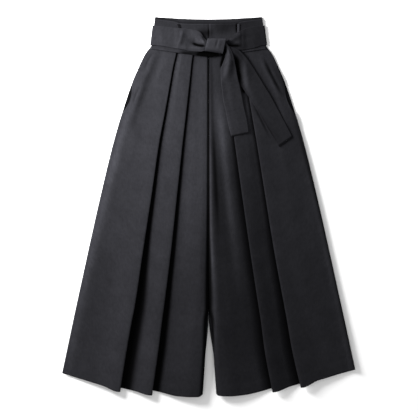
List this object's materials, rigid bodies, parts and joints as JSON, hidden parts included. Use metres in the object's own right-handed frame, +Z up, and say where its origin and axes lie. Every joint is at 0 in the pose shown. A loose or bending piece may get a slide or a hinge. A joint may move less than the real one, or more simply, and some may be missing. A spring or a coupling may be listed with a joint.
{
  "type": "hakama trousers",
  "caption": "Wide hakama trousers laid flat, with knife pleats folded to the centre, a high waistband, slanted side pockets and a sash belt tied in a flat knot with hanging tails.",
  "frame": {"origin": "middle of the garment's box, on the surface it lies on", "axes": "+Y from the hems to the waist, +X to the right of the front as it is looked at, +Z up off the surface"},
  "size_m": [0.8203, 1.0623, 0.0192],
  "materials": {
    "trouser_cloth": "matt woven twill, dark charcoal",
    "belt_cloth": "matt woven twill, dark charcoal"
  },
  "bodies": {
    "root": {"front_leg_left": "trouser_cloth", "front_leg_right": "trouser_cloth", "back_leg_left": "trouser_cloth", "back_leg_right": "trouser_cloth", "pocket_facing_left": "trouser_cloth", "pocket_facing_right": "trouser_cloth", "waistband_front": "trouser_cloth", "waistband_back": "trouser_cloth", "belt_loop_left": "belt_cloth", "belt_loop_right": "belt_cloth", "belt_run_left": "belt_cloth", "belt_run_right": "belt_cloth", "belt_run_back": "belt_cloth", "belt_knot": "belt_cloth", "belt_tail_front": "belt_cloth", "belt_tail_side": "belt_cloth"}
  },
  "joints": []
}
